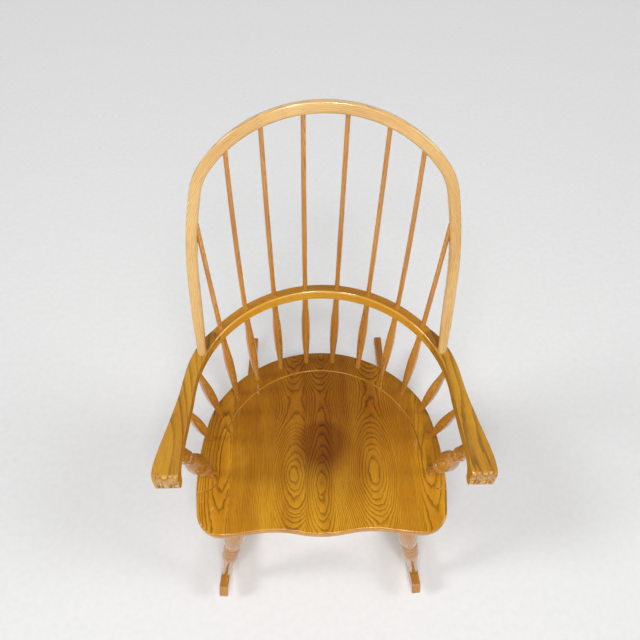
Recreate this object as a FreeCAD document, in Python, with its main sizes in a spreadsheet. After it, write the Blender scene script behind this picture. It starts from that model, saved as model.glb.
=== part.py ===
import FreeCAD, Part
import math
import os
import Sketcher
from FreeCAD import Placement, Rotation, Vector

# A hoop back rocking chair in oak: a saddled seat on four turned legs and two rockers, and a bow of
# three pieces on turned posts and spindles, with a bent hoop above it.
# The front faces -Y, +Z is up, the floor is Z = 0 and the origin lies below the middle of the chair.
# Left is -X. Lengths are in millimetres, and names that end in _angle hold degrees.

SIZES = {
    # seat
    "seat_width": 550.6,
    "seat_depth": 453.5,
    "seat_front_place": -318.5,
    "seat_front_height": 428.8,
    "seat_thickness": 38.0,
    "seat_tilt_angle": 2.24,
    "seat_corner_radius": 55.0,
    "seat_side_run": 23.112427,
    "seat_front_wave": 10.5,
    "seat_top_rounding": 5.0,
    "seat_under_bevel": 13.0,
    "seat_under_bevel_height": 22.0,
    "saddle_depth": 9.0,
    "saddle_width": 404.0,
    "saddle_length": 344.0,
    "saddle_front_gap": 12.0,
    "groove_radius": 1.5,
    "groove_inset": 54.0,
    "groove_side_length": 44.0,
    "groove_turn_radius": 34.0,
    "seat_hole_inset": 23.5,
    "seat_hole_step_angle": 14.43,
    # bow: back rail and two arms in one slanting plane
    "bow_back_place": 138.5,
    "bow_back_height": 678.0,
    "bow_tilt_angle": 1.65,
    "bow_radius": 262.0,
    "bow_thickness": 25.0,
    "bow_hole_step_angle": 15.1,
    "bow_edge_rounding": 5.0,
    "arm_edge_rounding": 4.0,
    "rail_width": 22.0,
    "rail_lap_start_angle": 56.0,
    "rail_lap_end_angle": 62.5,
    # arms
    "arm_reach": 167.0,
    "arm_bend_angle": 88.0,
    "arm_bend_radius": 350.0,
    "arm_spread_angle": 5.2,
    "hand_length": 45.0,
    "hand_width": 48.5,
    "hand_corner_rounding": 9.0,
    "scroll_radius": 13.0,
    "lower_scroll_radius": 14.5,
    "scroll_drop": 21.0,
    "hand_hollow_length": 34.0,
    "flute_radius": 6.5,
    "flute_depth": 4.2,
    "flute_length": 100.0,
    "flute_spread": 21.0,
    # hoop
    "hoop_half_width": 242.2,
    "hoop_height": 484.5,
    "hoop_lean_angle": 23.2,
    "hoop_side_radius": 875.0,
    "hoop_shoulder_radius": 116.0,
    "hoop_side_turn_angle": 12.0,
    "hoop_shoulder_turn_angle": 26.0,
    "hoop_face_width": 20.8,
    "hoop_thickness": 16.0,
    "hoop_rounding": 4.5,
    "hoop_round_end_length": 75.0,
    "hoop_end_radius": 8.6,
    "hoop_tenon_radius": 7.2,
    "hoop_tenon_length": 20.0,
    "hoop_hole_step_angle": 17.1,
    "hoop_side_hole_height": 268.0,
    # long back spindles
    "spindle_foot_radius": 6.2,
    "spindle_bulb_radius": 9.9,
    "spindle_rail_radius": 5.5,
    "spindle_top_radius": 4.2,
    "spindle_tenon_length": 22.0,
    "spindle_top_tenon_length": 12.0,
    # short spindles under the arms
    "arm_spindle_end_radius": 6.0,
    "arm_spindle_bulb_radius": 11.0,
    "arm_spindle_tenon_length": 14.0,
    "rear_arm_spindle_place": 72.5,
    "front_arm_spindle_place": -15.0,
    # turned posts under the hands
    "post_foot_half_spread": 243.0,
    "post_foot_setback": 137.0,
    "post_top_place": -97.5,
    "post_tenon_length": 16.0,
    "post_foot_radius": 10.5,
    "post_bead_radius": 16.0,
    "post_groove_radius": 14.0,
    "post_egg_radius": 21.2,
    "post_neck_radius": 11.5,
    "post_collar_radius": 15.0,
    "post_cup_radius": 14.5,
    "post_top_radius": 9.0,
    # legs
    "front_leg_half_spread": 181.0,
    "front_leg_setback": 49.0,
    "rear_leg_half_spread": 138.0,
    "rear_leg_setback": 353.0,
    "front_leg_foot_place": -314.5,
    "rear_leg_foot_place": 142.5,
    "leg_top_tenon_length": 26.0,
    "leg_foot_tenon_length": 22.0,
    "leg_top_radius": 12.5,
    "leg_bulb_radius": 22.6,
    "leg_neck_radius": 17.2,
    "leg_bead_radius": 19.6,
    "leg_vase_radius": 19.2,
    "leg_ankle_radius": 10.6,
    "leg_foot_radius": 8.3,
    "leg_tenon_end_radius": 6.6,
    # stretchers
    "stretcher_bulb_radius": 13.0,
    "stretcher_end_radius": 7.5,
    "stretcher_tenon_length": 15.0,
    "cross_stretcher_tenon_length": 9.0,
    # rockers
    "rocker_front_reach": 371.2,
    "rocker_rear_reach": 366.5,
    "rocker_radius": 1150.0,
    "rocker_lowest_place": -84.0,
    "rocker_width": 22.0,
    "rocker_mid_height": 46.0,
    "rocker_front_height": 33.0,
    "rocker_rear_height": 25.0,
    "rocker_nose_length": 20.0,
    "rocker_end_rounding": 7.0,
    "rocker_corner_rounding": 8.0,
    "rocker_edge_rounding": 2.5,
    "rocker_half_spread": 217.2,
    "rocker_toe_angle": 4.5,
    # fits
    "glue_gap": 0.1,
    "cut_overrun": 5.0,
}

# The seat's outline and the hoop's top keep these shares of the seat's half width.
SEAT_BACK_RADIUS_SHARE = 1.017
SEAT_WAVE_PLACE_SHARE = 0.48
SEAT_BACK_TURN_ANGLE = 56.0
SEAT_SHOULDER_TURN_ANGLE = 19.0
SEAT_SIDE_TURN_ANGLE = 7.0

# The hoop's round ends keep narrow flats, as a share of its rounding.
HOOP_END_FLAT_SHARE = 0.05

# The saddle: how narrow the pommel's ridge is, how fast it rises, how high, and how full the bowls are.
SADDLE_RIDGE_WIDTH_SHARE = 0.28
SADDLE_RIDGE_RISE_SHARE = 1.6
SADDLE_RIDGE_HEIGHT_SHARE = 0.8
SADDLE_FULLNESS_SHARE = 1.15
SADDLE_GRID_STEPS = 16

# Where the spindles' bulbs swell between seat and bow, and how far.
BULB_PLACE_SHARES = (0.0, 0.18, 0.34, 0.5, 0.66, 0.82, 1.0)
BULB_FULLNESS_SHARES = (0.0, 0.2, 0.78, 1.0, 0.92, 0.3, 0.0)
UPPER_PLACE_SHARES = (0.0, 0.25, 0.5, 0.75, 1.0)
SPINDLE_RING_COUNT = 36

# How wide the arm is along its length, as shares of the hand's width.
ARM_PLACE_SHARES = (0.0, 0.11, 0.25, 0.41, 0.565, 0.73, 0.87, 0.935, 1.0)
ARM_WIDTH_SHARES = (0.52, 0.61, 0.555, 0.545, 0.67, 0.83, 0.955, 1.0, 0.96)
SCROLL_BACK_SHARE = 0.6
CREASE_TURN_ANGLE = 35.0
FLUTE_LEAN_SHARE = 0.3

# Turned shapes, from the foot up: a place as a share of the length, the radius there and how much of
# it, and how far the stretch before swells, as a share of the widest radius or up to a named radius.
ARM_SPINDLE_SHAPE_SHARES = (
    (0.0, "arm_spindle_end_radius", 1.0, 0.0),
    (0.02, "arm_spindle_end_radius", 1.0, 0.0),
    (0.24, "arm_spindle_bulb_radius", 0.74, -0.055),
    (0.76, "arm_spindle_bulb_radius", 0.74, 0.26),
    (0.98, "arm_spindle_end_radius", 1.0, -0.055),
    (1.0, "arm_spindle_end_radius", 1.0, 0.0),
)
POST_SHAPE_SHARES = (
    (0.0, "post_foot_radius", 1.0, 0.0),
    (0.03, "post_foot_radius", 1.0, 0.0),
    (0.22, "post_groove_radius", 1.0, -0.16),
    (0.25, "post_groove_radius", 1.0, "post_bead_radius"),
    (0.28, "post_groove_radius", 1.0, "post_bead_radius"),
    (0.31, "post_groove_radius", 1.0, "post_bead_radius"),
    (0.43, "post_egg_radius", 1.0, 0.086),
    (0.62, "post_neck_radius", 1.0, 0.115),
    (0.69, "post_neck_radius", 1.0, 0.0),
    (0.74, "post_neck_radius", 1.0, "post_collar_radius"),
    (0.78, "post_cup_radius", 1.0, 0.054),
    (0.98, "post_top_radius", 1.0, 0.096),
    (1.0, "post_top_radius", 1.0, 0.0),
)
LEG_SHAPE_SHARES = (
    (0.0, "leg_foot_radius", 1.0, 0.0),
    (0.035, "leg_ankle_radius", 1.0, 0.0),
    (0.08, "leg_ankle_radius", 1.0, 0.0),
    (0.36, "leg_vase_radius", 1.0, -0.03),
    (0.455, "leg_neck_radius", 1.0, 0.065),
    (0.51, "leg_neck_radius", 1.0, "leg_bead_radius"),
    (0.565, "leg_neck_radius", 1.0, "leg_bead_radius"),
    (0.585, "leg_neck_radius", 1.0, 0.0),
    (0.67, "leg_bulb_radius", 1.0, 0.055),
    (0.97, "leg_top_radius", 1.0, 0.11),
    (1.0, "leg_top_radius", 1.0, 0.0),
)
STRETCHER_SHAPE_SHARES = (
    (0.0, "stretcher_end_radius", 1.0, 0.0),
    (0.06, "stretcher_end_radius", 1.0, 0.0),
    (0.3, "stretcher_bulb_radius", 0.86, -0.042),
    (0.7, "stretcher_bulb_radius", 0.86, 0.14),
    (0.94, "stretcher_end_radius", 1.0, -0.042),
    (1.0, "stretcher_end_radius", 1.0, 0.0),
)
STRETCHER_HEIGHT_SHARE = 0.67

doc = FreeCAD.newDocument("hoop_back_rocking_chair")
sheet = doc.addObject("Spreadsheet::Sheet", "sizes")
for row, (alias, number) in enumerate(SIZES.items(), start=1):
    sheet.set(f"A{row}", alias)
    sheet.set(f"B{row}", str(number))
    sheet.setAlias(f"B{row}", alias)
doc.recompute()


def size(alias):
    """The number that the sheet holds under this alias."""
    return float(sheet.get(alias))


def bind(holder, prop, formula):
    """Tie a property to a formula of the sheet's cells."""
    holder.setExpression(prop, formula)


def cell(alias):
    """A measure as its number and its formula."""
    return size(alias), f"sizes.{alias}"


def minus(measure):
    return -measure[0], f"-({measure[1]})"


def plus(first, second):
    return first[0] + second[0], f"{first[1]} + {second[1]}"


def share_of(measure, share):
    return measure[0] * share, f"({measure[1]}) * {share}"


def work_out(alias, number):
    """Keep a length that the geometry gives in the sheet, below the driving sizes."""
    row = len(SIZES) + 1
    while sheet.getContents(f"A{row}"):
        row += 1
    sheet.set(f"A{row}", alias)
    sheet.set(f"B{row}", repr(number))
    sheet.setAlias(f"B{row}", alias)
    sheet.recompute()
    return cell(alias)


def named(piece, label):
    piece.Label = label
    SUB_PARTS.append(piece)
    return piece


SUB_PARTS = []
GAP = size("glue_gap")
OVERRUN = size("cut_overrun")

# frames: each carries a flat pattern to its place in the chair
SEAT_FRAME = Placement(
    Vector(0, size("seat_front_place"), size("seat_front_height")),
    Rotation(Vector(1, 0, 0), -size("seat_tilt_angle")),
)
bow_tilt = math.radians(size("bow_tilt_angle"))
BOW_FRAME = Placement(
    Vector(
        0,
        size("bow_back_place") - size("bow_radius") * math.cos(bow_tilt),
        size("bow_back_height") + size("bow_radius") * math.sin(bow_tilt),
    ),
    Rotation(Vector(1, 0, 0), -size("bow_tilt_angle")),
)
hoop_foot_angle = math.degrees(math.asin(size("hoop_half_width") / size("bow_radius")))
hoop_foot_place = size("bow_radius") * math.cos(math.radians(hoop_foot_angle))
HOOP_FRAME = Placement(
    BOW_FRAME.multVec(Vector(0, hoop_foot_place, 0)),
    Rotation(Vector(1, 0, 0), 90 - size("hoop_lean_angle")),
)


def rocker_frame(side):
    """A rocker's frame: +Y runs back along the rocker, +Z up, from the floor's middle line."""
    turn = Rotation(Vector(0, 0, 1), side * size("rocker_toe_angle"))
    return Placement(Vector(side * size("rocker_half_spread"), 0, 0), turn)


def bend(start, heading, radius, turn):
    """An arc that leaves start at a heading and turns by an angle, with the point and heading after it."""
    sense = 1 if turn > 0 else -1
    normal = math.radians(heading + sense * 90)
    centre = start + Vector(math.cos(normal), math.sin(normal), 0) * radius
    spots = []
    for part in (0.5, 1.0):
        angle = math.radians(heading + turn * part - sense * 90)
        spots.append(centre + Vector(math.cos(angle), math.sin(angle), 0) * radius)
    return Part.Arc(start, spots[0], spots[1]).toShape(), spots[1], heading + turn


def walk(start, heading, steps):
    """A flat path of straight runs and tangent arcs. A step is (length,) or (radius, turn)."""
    edges = []
    for step in steps:
        if len(step) == 1:
            angle = math.radians(heading)
            end = start + Vector(math.cos(angle), math.sin(angle), 0) * step[0]
            edges.append(Part.LineSegment(start, end).toShape())
        else:
            edge, end, heading = bend(start, heading, step[0], step[1])
            edges.append(edge)
        start = end
    return edges, start


def mirrored(shape):
    return shape.mirror(Vector(0, 0, 0), Vector(1, 0, 0))


def peg(start, end, start_radius, end_radius):
    """A round peg or hole from one point to another."""
    along = end - start
    if abs(start_radius - end_radius) < GAP / 100:
        return Part.makeCylinder(start_radius, along.Length, start, along)
    return Part.makeCone(start_radius, end_radius, along.Length, start, along)


def seat_point(across, setback):
    return SEAT_FRAME.multVec(Vector(across, setback, 0))


# The holes for spindles lie on one arc, a fixed distance inside the seat's back edge.
half_seat = size("seat_width") / 2
seat_back_radius = SEAT_BACK_RADIUS_SHARE * half_seat
seat_arc_centre = size("seat_depth") - seat_back_radius


def seat_hole(number):
    """Where spindle hole 1, 2, 3 ... from the middle meets the seat, on the right."""
    angle = math.radians(size("seat_hole_step_angle") * (number - 0.5))
    radius = seat_back_radius - size("seat_hole_inset")
    return seat_point(radius * math.sin(angle), seat_arc_centre + radius * math.cos(angle))


def bow_hole(number):
    """Where back spindle 1, 2, 3, 4 from the middle crosses the back rail's middle, on the right."""
    angle = math.radians(size("bow_hole_step_angle") * (number - 0.5))
    radius = size("bow_radius")
    depth = -size("bow_thickness") / 2
    return BOW_FRAME.multVec(Vector(radius * math.sin(angle), radius * math.cos(angle), depth))


# The hoop's middle line, from the top to the foot on the right.
side_turn = size("hoop_side_turn_angle")
shoulder_turn = size("hoop_shoulder_turn_angle")
top_turn = 90 - side_turn - shoulder_turn
side_run = size("hoop_side_radius") * (1 - math.cos(math.radians(side_turn)))
shoulder_run = size("hoop_shoulder_radius") * (
    math.sin(math.radians(90 - side_turn)) - math.sin(math.radians(top_turn))
)
hoop_top_radius = (size("hoop_half_width") - side_run - shoulder_run) / math.sin(math.radians(top_turn))
HOOP_TOP = Vector(0, size("hoop_height"), 0)
hoop_bends, hoop_bends_end = walk(
    HOOP_TOP,
    0,
    [
        (hoop_top_radius, -top_turn),
        (size("hoop_shoulder_radius"), -shoulder_turn),
        (size("hoop_side_radius"), -side_turn),
    ],
)


def hoop_hole(number):
    """Where back spindle 1, 2, 3 from the middle enters the hoop's underside, on the right."""
    angle = math.radians(size("hoop_hole_step_angle") * (number - 0.5))
    centre = HOOP_TOP.y - hoop_top_radius
    radius = hoop_top_radius - size("hoop_face_width") / 2
    return HOOP_FRAME.multVec(Vector(radius * math.sin(angle), centre + radius * math.cos(angle), 0))


def hoop_side_hole():
    """Where the outermost back spindle enters the hoop's inner side, on the right."""
    height = size("hoop_side_hole_height")
    radius = size("hoop_side_radius")
    inward = radius - math.sqrt(radius**2 - (height - hoop_bends_end.y) ** 2)
    across = hoop_bends_end.x - inward - size("hoop_face_width") / 2
    return HOOP_FRAME.multVec(Vector(across, height, 0))


def on_side(point, side):
    return Vector(side * point.x, point.y, point.z)


def leg_ends(half_spread, setback, foot_place, side):
    """A leg's middle line: where it meets the seat's underside and the rocker's top."""
    under = Vector(side * half_spread, setback, -size("seat_thickness"))
    frame = rocker_frame(side)
    along = foot_place / math.cos(math.radians(size("rocker_toe_angle")))
    foot = frame.multVec(Vector(0, along, rocker_top_height(along)))
    return SEAT_FRAME.multVec(under), foot


def rocker_bottom_height(along):
    reach = along - size("rocker_lowest_place")
    return size("rocker_radius") - math.sqrt(size("rocker_radius") ** 2 - reach**2)


def rocker_top_arc():
    """The rocker's top edge, through its front corner, its thickest place and its rear corner."""
    front = size("rocker_nose_length") - size("rocker_front_reach")
    rear = size("rocker_rear_reach")
    middle = (front + rear) / 2
    spots = []
    for along, height in (
        (front, "rocker_front_height"),
        (middle, "rocker_mid_height"),
        (rear, "rocker_rear_height"),
    ):
        spots.append(Vector(along, rocker_bottom_height(along) + size(height), 0))
    return Part.Arc(*spots), spots


def rocker_top_height(along):
    arc, spots = rocker_top_arc()
    circle = arc.toShape().Curve
    rise = math.sqrt(circle.Radius**2 - (along - circle.Center.x) ** 2)
    return circle.Center.y + math.copysign(rise, spots[1].y - circle.Center.y)


# turned pieces: a profile on the XZ plane, revolved about Z
def origin_plane(body, role):
    for plane in body.Origin.OriginFeatures:
        if plane.Role == role:
            return plane
    raise ValueError(role)


def add_segment(sketch, start, end, swell):
    """Add a line, or a curve that stands off the line by a swell: an arc outward, a hollow inward."""
    if swell == 0:
        return sketch.addGeometry(Part.LineSegment(start, end), False)
    chord = end - start
    outward = Vector(chord.y, -chord.x, 0).normalize()
    bulge = (start + end) / 2 + outward * swell
    if swell < 0:
        hollow = Part.BSplineCurve()
        hollow.interpolate([start, bulge, end])
        return sketch.addGeometry(hollow, False)
    arc = Part.Arc(start, bulge, end)
    index = sketch.addGeometry(arc, False)
    sketch.addConstraint(Sketcher.Constraint("Radius", index, arc.toShape().Curve.Radius))
    return index


def turned(name, stations):
    """A lathe-turned body along +Z. Each station is (height, radius, swell of the stretch before it)."""
    body = doc.addObject("PartDesign::Body", name)
    sketch = body.newObject("Sketcher::SketchObject", name + "_profile")
    sketch.AttachmentSupport = [(origin_plane(body, "XZ_Plane"), "")]
    sketch.MapMode = "FlatFace"
    zero = (0.0, "0")
    corners = [(stations[0][0], zero, 0)] + stations + [(stations[-1][0], zero, 0)]
    spots = [Vector(radius[0], height[0], 0) for height, radius, swell in corners]
    pieces = []
    for number in range(1, len(corners)):
        pieces.append(add_segment(sketch, spots[number - 1], spots[number], corners[number][2]))
    pieces.append(add_segment(sketch, spots[-1], spots[0], 0))
    for number, index in enumerate(pieces):
        following = pieces[(number + 1) % len(pieces)]
        sketch.addConstraint(Sketcher.Constraint("Coincident", index, 2, following, 1))
    for index, (height, radius, swell) in zip(pieces, corners):
        if radius is zero:
            sketch.addConstraint(Sketcher.Constraint("PointOnObject", index, 1, -2))
        else:
            across = sketch.addConstraint(Sketcher.Constraint("DistanceX", -1, 1, index, 1, radius[0]))
            bind(sketch, f"Constraints[{across}]", radius[1])
        up = sketch.addConstraint(Sketcher.Constraint("DistanceY", -1, 1, index, 1, height[0]))
        bind(sketch, f"Constraints[{up}]", height[1])
    turning = body.newObject("PartDesign::Revolution", name + "_turning")
    turning.Profile = sketch
    turning.ReferenceAxis = (sketch, ["V_Axis"])
    turning.Angle = 360
    body.Tip = turning
    return body


def turned_stations(shape_shares, length, widest):
    """The stations of a turned shape for a piece of this length."""
    stations = []
    for place_share, alias, fullness_share, swell in shape_shares:
        radius = share_of(cell(alias), fullness_share)
        rise = size(swell) - radius[0] if swell in SIZES else swell * size(widest)
        stations.append((share_of(length, place_share), radius, rise))
    return stations


def stand(piece, start, end):
    """Place a turned piece with its foot on start and its top towards end."""
    piece.Placement = Placement(start, Rotation(Vector(0, 0, 1), end - start))


def drilled(piece, name, cutters):
    """The piece with sockets cut in it, as one object whose tools stay in the document."""
    tool = doc.addObject("Part::Feature", name + "_sockets")
    tool.Shape = Part.makeCompound(cutters)
    cut = doc.addObject("Part::Cut", name)
    cut.Base = piece
    cut.Tool = tool
    return cut


def solid_feature(name, shape, frame):
    """A piece whose shape is worked out in its own flat frame and then carried to its place."""
    piece = doc.addObject("Part::Feature", name)
    piece.Shape = shape
    piece.Placement = frame
    return piece


def in_frame(shape, frame):
    """A copy of a shape in the chair, seen from a frame."""
    return shape.transformed(frame.inverse().toMatrix(), True)


# back spindles: flexed by the bow on their way from the seat to the hoop
def spindle_arc(foot, crossing, top):
    """The flexed middle line, one flat arc from the seat's top through the rail to the hoop."""
    return Part.Arc(foot, crossing, top).toShape()


def along_arc(arc, distance):
    """The point and the direction at a distance along an arc, or straight on beyond its ends."""
    kept = min(max(distance, 0), arc.Length)
    spot = arc.getParameterByLength(kept)
    direction = arc.tangentAt(spot)
    return arc.valueAt(spot) + direction * (distance - kept), direction


def crossing_distance(arc, foot, crossing):
    """How far along its arc a spindle crosses the back rail's middle."""
    half_chord = (crossing - foot).Length / 2
    return 2 * arc.Curve.Radius * math.asin(half_chord / arc.Curve.Radius)


def spindle_profile(under_rail, above_rail, end):
    """A smooth curve of radius (Y) over distance along the spindle (X), to the end of the top tenon."""
    foot_radius = size("spindle_foot_radius")
    rail_radius = size("spindle_rail_radius")
    swell = size("spindle_bulb_radius") - foot_radius
    thinning = size("spindle_top_radius") - rail_radius
    points = []
    for place, fullness in zip(BULB_PLACE_SHARES, BULB_FULLNESS_SHARES):
        points.append(Vector(place * under_rail, foot_radius + fullness * swell, 0))
    for place in UPPER_PLACE_SHARES:
        points.append(Vector(above_rail + place * (end - above_rail), rail_radius + place * thinning, 0))
    profile = Part.BSplineCurve()
    profile.interpolate(Points=points, Parameters=[point.x for point in points])
    return profile


def back_spindle(name, foot, crossing, top):
    """Rings at even distances along the flexed middle line, joined, with the foot's straight tenon."""
    arc = spindle_arc(foot, crossing, top)
    to_crossing = crossing_distance(arc, foot, crossing)
    rail_half = size("bow_thickness") / 2
    end = arc.Length + size("spindle_top_tenon_length")
    profile = spindle_profile(to_crossing - rail_half, to_crossing + rail_half, end)
    rings = []
    for number in range(SPINDLE_RING_COUNT + 1):
        distance = end * number / SPINDLE_RING_COUNT
        spot, direction = along_arc(arc, distance)
        ring = Part.Wire(Part.makeCircle(profile.value(distance).y))
        ring.Placement = Placement(spot, Rotation(Vector(0, 0, 1), direction))
        rings.append(ring)
    tenon_end = along_arc(arc, -size("spindle_tenon_length"))[0]
    foot_radius = size("spindle_foot_radius")
    tenon = peg(tenon_end, foot, foot_radius, foot_radius)
    shape = Part.makeLoft(rings, True, True).fuse(tenon)
    return solid_feature(name, shape.removeSplitter(), Placement())


SPINDLES = []
for side in (-1, 1):
    for number in (1, 2, 3, 4):
        top = hoop_hole(number) if number < 4 else hoop_side_hole()
        SPINDLES.append((side, number, [on_side(p, side) for p in (seat_hole(number), bow_hole(number), top)]))


def spindle_name(side, number):
    """Back spindles are numbered 1 to 8 from left to right."""
    return f"back_spindle_{4 + number if side > 0 else 5 - number}"


for side, number, (foot, crossing, top) in SPINDLES:
    name = spindle_name(side, number)
    named(back_spindle(name, foot, crossing, top), name)


def seat_sockets_for_spindles():
    cutters = []
    radius = size("spindle_foot_radius") + GAP
    for side, number, (foot, crossing, top) in SPINDLES:
        arc = spindle_arc(foot, crossing, top)
        bottom, up = along_arc(arc, -size("spindle_tenon_length") - GAP)
        cutters.append(peg(bottom, foot + up * OVERRUN, radius, radius))
    return cutters


def rail_holes_for_spindles():
    cutters = []
    reach = size("bow_thickness") / 2
    for side, number, (foot, crossing, top) in SPINDLES:
        arc = spindle_arc(foot, crossing, top)
        middle = crossing_distance(arc, foot, crossing)
        low = along_arc(arc, middle - reach)[0]
        high = along_arc(arc, middle + reach)[0]
        along = (high - low).normalize()
        low_radius = size("spindle_foot_radius") + GAP
        high_radius = size("spindle_rail_radius") + GAP
        cutters.append(peg(low, high, low_radius, high_radius))
        cutters.append(peg(low - along * OVERRUN, low, low_radius, low_radius))
        cutters.append(peg(high, high + along * OVERRUN, high_radius, high_radius))
    return cutters


def hoop_sockets_for_spindles():
    cutters = []
    radius = size("spindle_top_radius") + GAP
    for side, number, (foot, crossing, top) in SPINDLES:
        arc = spindle_arc(foot, crossing, top)
        start = along_arc(arc, arc.Length - size("spindle_top_tenon_length") * 2)[0]
        end = along_arc(arc, arc.Length + size("spindle_top_tenon_length") + GAP)[0]
        cutters.append(peg(start, end, radius, radius))
    return cutters


# arm spindles and posts, between the seat and the arms
def arm_inner_edge():
    """The arm's inner edge in the bow's frame: the rail's arc, a spreading run and the hand's side."""
    inner = size("bow_radius") - size("rail_width") / 2
    start_angle = size("rail_lap_start_angle")
    turned_angle = math.radians(start_angle)
    start = Vector(inner * math.sin(turned_angle), inner * math.cos(turned_angle), 0)
    bend_angle = size("arm_bend_angle")
    spread = size("arm_spread_angle")
    steps = [(inner, start_angle - bend_angle), (size("arm_bend_radius"), bend_angle + spread - 90)]
    edges, place = walk(start, -start_angle, steps)
    hand_back = size("hand_length") - size("arm_reach")
    run = (place.y - hand_back) / math.cos(math.radians(spread))
    more, place = walk(place, spread - 90, [(run,), (size("hand_length"), -spread)])
    tip = Vector(place.x, -size("arm_reach"), 0)
    return Part.Wire(edges + more + [Part.LineSegment(place, tip).toShape()])


def arm_inner_ends():
    corners = arm_inner_edge().OrderedVertexes
    return corners[0].Point, corners[-1].Point


def arm_inner_point(level):
    """Where the arm's inner edge crosses a level along +Y of the bow's frame."""
    cutter = Part.makeLine(Vector(0, level, 0), Vector(size("seat_width"), level, 0))
    return arm_inner_edge().distToShape(cutter)[1][0][0]


def arm_width(place):
    """The arm's width at a share of its length, between the table's places."""
    pairs = list(zip(ARM_PLACE_SHARES, ARM_WIDTH_SHARES))
    for (before, narrow), (after, wide) in zip(pairs, pairs[1:]):
        if place <= after:
            return size("hand_width") * (narrow + (wide - narrow) * (place - before) / (after - before))
    return size("hand_width")


def arm_middle(level):
    """The middle of the right arm's width at a level along +Y of the bow's frame."""
    start, tip = arm_inner_ends()
    share = (start.y - level) / (start.y - tip.y)
    spot = arm_inner_point(level)
    return Vector(spot.x + arm_width(max(share, 0)) / 2, level, 0)


def under_arm(place):
    """A point on the underside of the right arm, in the chair."""
    spot = arm_middle(place)
    return BOW_FRAME.multVec(Vector(spot.x, spot.y, -size("bow_thickness")))


ARM_SPINDLES = []
for side, hand in ((-1, "left"), (1, "right")):
    for number, which in ((5, "rear"), (6, "front")):
        foot = on_side(seat_hole(number), side)
        top = on_side(under_arm(size(f"{which}_arm_spindle_place")), side)
        ARM_SPINDLES.append((f"{hand}_{which}_arm_spindle", foot, top))

for name, foot, top in ARM_SPINDLES:
    tenon = cell("arm_spindle_tenon_length")
    length = work_out(name + "_length", (top - foot).Length)
    end = cell("arm_spindle_end_radius")
    shape = turned_stations(ARM_SPINDLE_SHAPE_SHARES, length, "arm_spindle_bulb_radius")
    stations = [(minus(tenon), end, 0)] + shape + [(plus(length, tenon), end, 0)]
    piece = named(turned(name, stations), name)
    stand(piece, foot, top)

POSTS = []
for side, hand in ((-1, "left"), (1, "right")):
    foot = seat_point(side * size("post_foot_half_spread"), size("post_foot_setback"))
    top = on_side(under_arm(size("post_top_place")), side)
    POSTS.append((f"{hand}_arm_post", foot, top))

for name, foot, top in POSTS:
    tenon = cell("post_tenon_length")
    length = work_out(name + "_length", (top - foot).Length)
    shape = turned_stations(POST_SHAPE_SHARES, length, "post_egg_radius")
    foot_end = (minus(tenon), cell("post_foot_radius"), 0)
    top_end = (plus(length, tenon), cell("post_top_radius"), 0)
    piece = named(turned(name, [foot_end] + shape + [top_end]), name)
    stand(piece, foot, top)


def arm_pegs():
    """The tenons that stand in the seat and the arms: foot, top, end radius and tenon length."""
    pegs = []
    for name, foot, top in ARM_SPINDLES:
        radius = size("arm_spindle_end_radius")
        pegs.append((foot, top, radius, radius, size("arm_spindle_tenon_length")))
    for name, foot, top in POSTS:
        pegs.append((foot, top, size("post_foot_radius"), size("post_top_radius"), size("post_tenon_length")))
    return pegs


def seat_sockets_for_arm_pegs():
    cutters = []
    for foot, top, foot_radius, top_radius, tenon in arm_pegs():
        up = (top - foot).normalize()
        bottom = foot - up * (tenon + GAP)
        cutters.append(peg(bottom, foot + up * OVERRUN, foot_radius + GAP, foot_radius + GAP))
    return cutters


def arm_sockets(side):
    cutters = []
    for foot, top, foot_radius, top_radius, tenon in arm_pegs():
        if top.x * side > 0:
            up = (top - foot).normalize()
            end = top + up * (tenon + GAP)
            cutters.append(peg(top - up * OVERRUN, end, top_radius + GAP, top_radius + GAP))
    return cutters


# legs, stretchers and rockers
LEGS = []
for side, hand in ((-1, "left"), (1, "right")):
    for which in ("front", "rear"):
        ends = leg_ends(
            size(f"{which}_leg_half_spread"), size(f"{which}_leg_setback"), size(f"{which}_leg_foot_place"), side
        )
        LEGS.append((f"{hand}_{which}_leg", side, ends[0], ends[1]))


def on_leg(name):
    """Where a stretcher meets a leg's middle line."""
    for leg, side, top, foot in LEGS:
        if leg == name:
            return foot + (top - foot) * STRETCHER_HEIGHT_SHARE
    raise ValueError(name)


SIDE_STRETCHERS = []
for hand in ("left", "right"):
    SIDE_STRETCHERS.append((f"{hand}_side_stretcher", on_leg(f"{hand}_front_leg"), on_leg(f"{hand}_rear_leg")))


def leg_stations(length):
    foot_end = (minus(cell("leg_foot_tenon_length")), cell("leg_tenon_end_radius"), 0)
    top_end = (plus(length, cell("leg_top_tenon_length")), cell("leg_top_radius"), 0)
    return [foot_end] + turned_stations(LEG_SHAPE_SHARES, length, "leg_bulb_radius") + [top_end]


STRETCHERS = []
for name, front, rear in SIDE_STRETCHERS:
    STRETCHERS.append((name, front, rear, size("leg_bulb_radius") - size("stretcher_tenon_length")))
left_middle = (SIDE_STRETCHERS[0][1] + SIDE_STRETCHERS[0][2]) / 2
right_middle = (SIDE_STRETCHERS[1][1] + SIDE_STRETCHERS[1][2]) / 2
cross_inset = size("stretcher_bulb_radius") - size("cross_stretcher_tenon_length")
STRETCHERS.append(("cross_stretcher", left_middle, right_middle, cross_inset))


def stretcher_ends(name):
    """A stretcher's two ends: its middle line, cut back from the middle lines of what it joins."""
    for other, start, end, inset in STRETCHERS:
        if other == name:
            along = (end - start).normalize()
            return start + along * inset, end - along * inset
    raise ValueError(name)


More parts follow.
